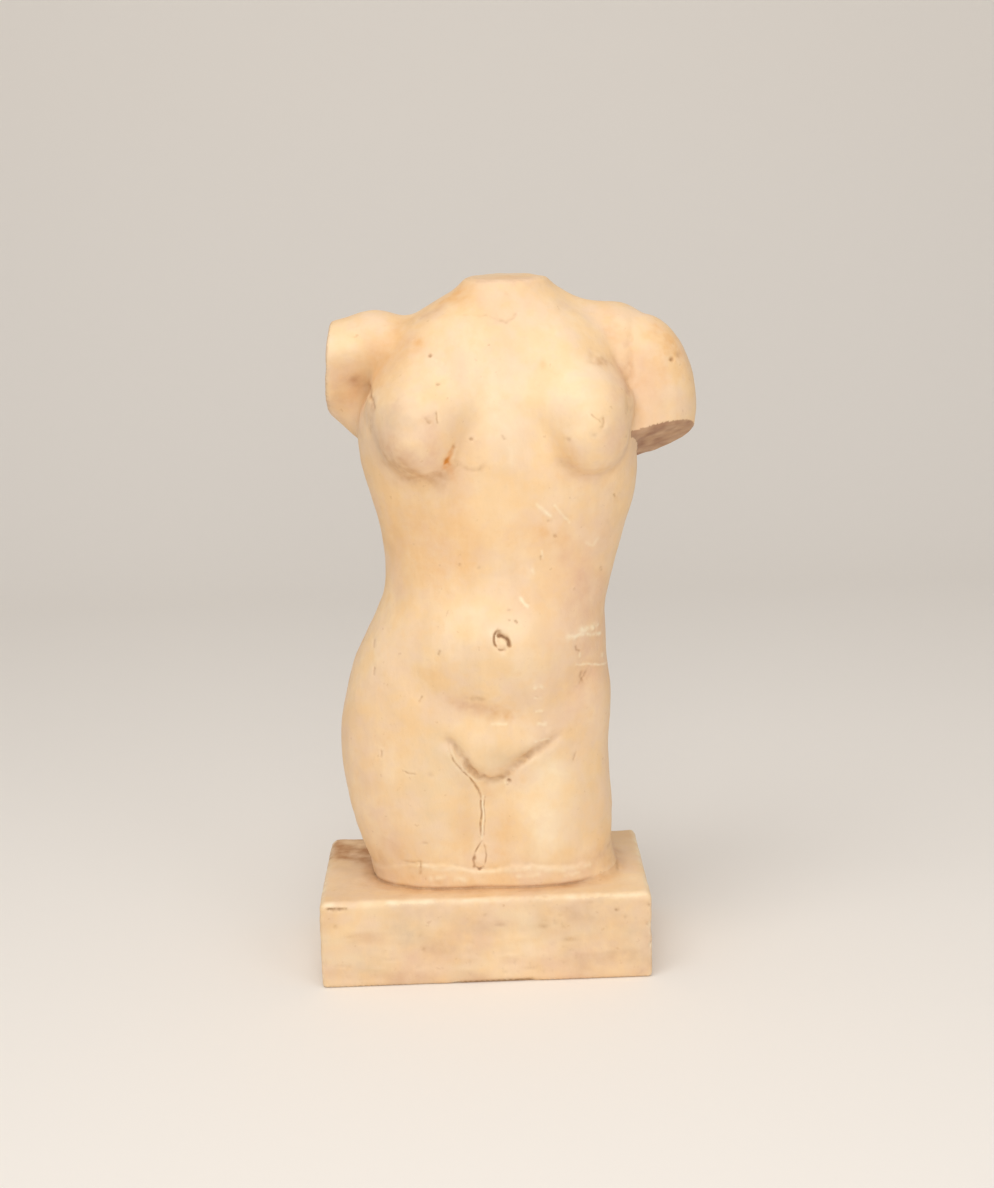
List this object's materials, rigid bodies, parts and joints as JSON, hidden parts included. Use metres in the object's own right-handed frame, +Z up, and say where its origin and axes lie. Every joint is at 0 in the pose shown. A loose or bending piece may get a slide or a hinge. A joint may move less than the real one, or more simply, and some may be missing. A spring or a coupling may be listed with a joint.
{
  "type": "female torso sculpture on plinth",
  "caption": "Headless standing female torso cut at neck, upper arms and mid-thigh, cast in one with a plain rectangular plinth; painted plaster.",
  "frame": {"origin": "centre of the plinth's flat underside", "axes": "+Z up, +X towards the figure's left arm stump, the figure faces -Y"},
  "size_m": [0.2468, 0.1319, 0.4414],
  "materials": {
    "painted_plaster": "cream paint over cast plaster, satin, worn and stained"
  },
  "bodies": {
    "root": {"torso_on_plinth": "painted_plaster"}
  },
  "joints": []
}
